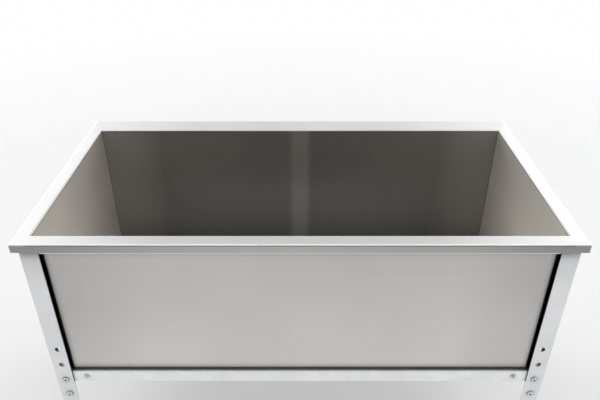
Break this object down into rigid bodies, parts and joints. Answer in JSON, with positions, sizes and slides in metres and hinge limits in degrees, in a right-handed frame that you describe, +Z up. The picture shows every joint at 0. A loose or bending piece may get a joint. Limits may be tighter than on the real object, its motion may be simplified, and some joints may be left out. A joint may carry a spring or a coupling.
{
  "type": "utility sink",
  "caption": "Deep rectangular single-bowl utility sink of folded stainless sheet with a flat rim, on a galvanised angle frame with levelling feet and a lift-out strainer.",
  "frame": {"origin": "on the floor, under the middle of the rim", "axes": "+X to the right along the sink's width, +Y to the back, +Z up; the apron faces -Y"},
  "size_m": [1.2, 0.626, 0.85],
  "materials": {
    "stainless": "sheet with a fine straight grain along each panel's length",
    "galvanised": "galvanised steel with a faint spangle, matt",
    "zinc_fastener": "zinc-plated steel, satin",
    "chromed": "polished chrome plate",
    "black_plastic": "moulded, fine matt texture",
    "grey_plastic": "moulded, matt",
    "black_rubber": "soft rubber, dull",
    "fibre": "pressed fibre card, dull"
  },
  "bodies": {
    "sink": {"bottom_rail_back": "galvanised", "bottom_rail_front": "galvanised", "bottom_rail_left": "galvanised", "bottom_rail_right": "galvanised", "corner_bracket_back_left": "galvanised", "corner_bracket_back_right": "galvanised", "corner_bracket_front_left": "galvanised", "corner_bracket_front_right": "galvanised", "coupling_nut": "grey_plastic", "end_panel_left": "stainless", "end_panel_right": "stainless", "foot_bracket_back_left": "galvanised", "foot_bracket_back_right": "galvanised", "foot_bracket_front_left": "galvanised", "foot_bracket_front_right": "galvanised", "foot_lock_nuts": "zinc_fastener", "leg_back_left": "galvanised", "leg_back_right": "galvanised", "leg_bolt_nuts": "zinc_fastener", "leg_bolt_washers": "zinc_fastener", "leg_bolts": "zinc_fastener", "leg_front_left": "galvanised", "leg_front_right": "galvanised", "leg_spacers": "zinc_fastener", "rail_screw_nuts": "zinc_fastener", "rail_screw_washers": "zinc_fastener", "rail_screws": "zinc_fastener", "tailpiece": "chromed", "tailpiece_washer": "black_rubber", "top_rail_back": "galvanised", "top_rail_front": "galvanised", "top_rail_left": "galvanised", "top_rail_right": "galvanised", "tub_shell": "stainless", "waste_back_nut": "grey_plastic", "waste_cup": "stainless", "waste_friction_ring": "fibre", "waste_gasket": "black_rubber", "waste_rubber_washer": "black_rubber"},
    "foot_front_right": {"foot_stem_front_right": "zinc_fastener", "foot_pad_front_right": "black_plastic"},
    "foot_front_left": {"foot_stem_front_left": "zinc_fastener", "foot_pad_front_left": "black_plastic"},
    "foot_back_right": {"foot_stem_back_right": "zinc_fastener", "foot_pad_back_right": "black_plastic"},
    "foot_back_left": {"foot_stem_back_left": "zinc_fastener", "foot_pad_back_left": "black_plastic"},
    "strainer": {"strainer_basket": "stainless", "strainer_stopper": "black_rubber", "strainer_post": "chromed"}
  },
  "joints": [
    {"name": "foot_front_right_height", "type": "slide", "parent": "sink", "child": "foot_front_right", "axis": [0, 0, -1], "range_m": [0, 0.04]},
    {"name": "foot_front_left_height", "type": "slide", "parent": "sink", "child": "foot_front_left", "axis": [0, 0, -1], "range_m": [0, 0.04]},
    {"name": "foot_back_right_height", "type": "slide", "parent": "sink", "child": "foot_back_right", "axis": [0, 0, -1], "range_m": [0, 0.04]},
    {"name": "foot_back_left_height", "type": "slide", "parent": "sink", "child": "foot_back_left", "axis": [0, 0, -1], "range_m": [0, 0.04]},
    {"name": "strainer_lift", "type": "slide", "parent": "sink", "child": "strainer", "axis": [0, 0, 1], "range_m": [0, 0.15]}
  ]
}
